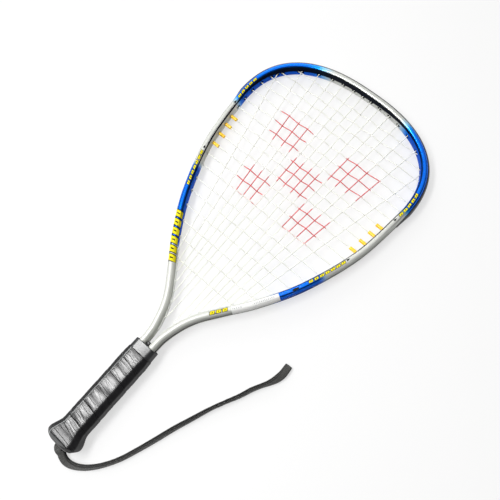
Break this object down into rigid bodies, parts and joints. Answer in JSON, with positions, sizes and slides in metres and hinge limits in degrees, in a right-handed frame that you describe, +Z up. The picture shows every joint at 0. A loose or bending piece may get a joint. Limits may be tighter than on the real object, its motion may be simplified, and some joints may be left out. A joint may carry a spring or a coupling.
{
  "type": "racquetball racket",
  "caption": "Open-throat racquetball racket with a strung oversize head, a wound grip with a flared butt, and a folded wrist tether lying beside it.",
  "frame": {"origin": "middle of the racket's footprint without its tether, on the surface that it lies on", "axes": "+X along the racket from the butt to the tip, +Z up and out of the string face that shows, +Y to the left of the tip; the string plane leans down to the tip by 0.73 degrees, because the flared butt is deeper than the frame"},
  "size_m": [0.5741, 0.2751, 0.0345],
  "materials": {
    "lacquered_aluminium": "silver lacquer that fades into blue, glossy",
    "string_nylon": "natural nylon, glossy, with a red stencil in the middle of the head",
    "black_nylon": "black moulded nylon, satin",
    "yellow_nylon": "bright yellow moulded nylon",
    "clear_nylon": "milky clear nylon",
    "core_foam": "grey moulded foam, matte",
    "fastener_steel": "zinc-plated steel",
    "grip_wrap": "black synthetic leather, glossy and creased",
    "finishing_vinyl": "black vinyl tape",
    "label_paper": "blank white paper label",
    "tether_braid": "dark grey-black woven nylon braid"
  },
  "bodies": {
    "root": {"frame_tube": "lacquered_aluminium", "main_string": "string_nylon", "cross_string": "string_nylon", "bumper_guard": "black_nylon", "string_sleeve_left_1": "yellow_nylon", "string_sleeve_left_2": "yellow_nylon", "string_sleeve_left_3": "yellow_nylon", "string_sleeve_left_4": "yellow_nylon", "cross_eyelet_left_1": "clear_nylon", "cross_eyelet_left_2": "clear_nylon", "cross_eyelet_left_3": "clear_nylon", "cross_eyelet_left_4": "clear_nylon", "cross_eyelet_left_5": "clear_nylon", "cross_eyelet_left_6": "clear_nylon", "cross_eyelet_left_7": "clear_nylon", "cross_eyelet_left_8": "clear_nylon", "main_eyelet_left": "clear_nylon", "throat_strip_left": "clear_nylon", "string_sleeve_right_1": "yellow_nylon", "string_sleeve_right_2": "yellow_nylon", "string_sleeve_right_3": "yellow_nylon", "string_sleeve_right_4": "yellow_nylon", "cross_eyelet_right_1": "clear_nylon", "cross_eyelet_right_2": "clear_nylon", "cross_eyelet_right_3": "clear_nylon", "cross_eyelet_right_4": "clear_nylon", "cross_eyelet_right_5": "clear_nylon", "cross_eyelet_right_6": "clear_nylon", "cross_eyelet_right_7": "clear_nylon", "cross_eyelet_right_8": "clear_nylon", "main_eyelet_right": "clear_nylon", "throat_strip_right": "clear_nylon", "price_label": "label_paper", "pallet_front": "core_foam", "pallet_back": "core_foam", "pallet_rivet_1": "fastener_steel", "pallet_rivet_2": "fastener_steel", "butt_cap": "black_nylon", "cap_tack_front": "fastener_steel", "cap_tack_back": "fastener_steel", "grip_tape": "grip_wrap", "finishing_tape": "finishing_vinyl", "throat_plug": "black_nylon", "tether_knot": "tether_braid", "tether_loop": "tether_braid"}
  },
  "joints": []
}
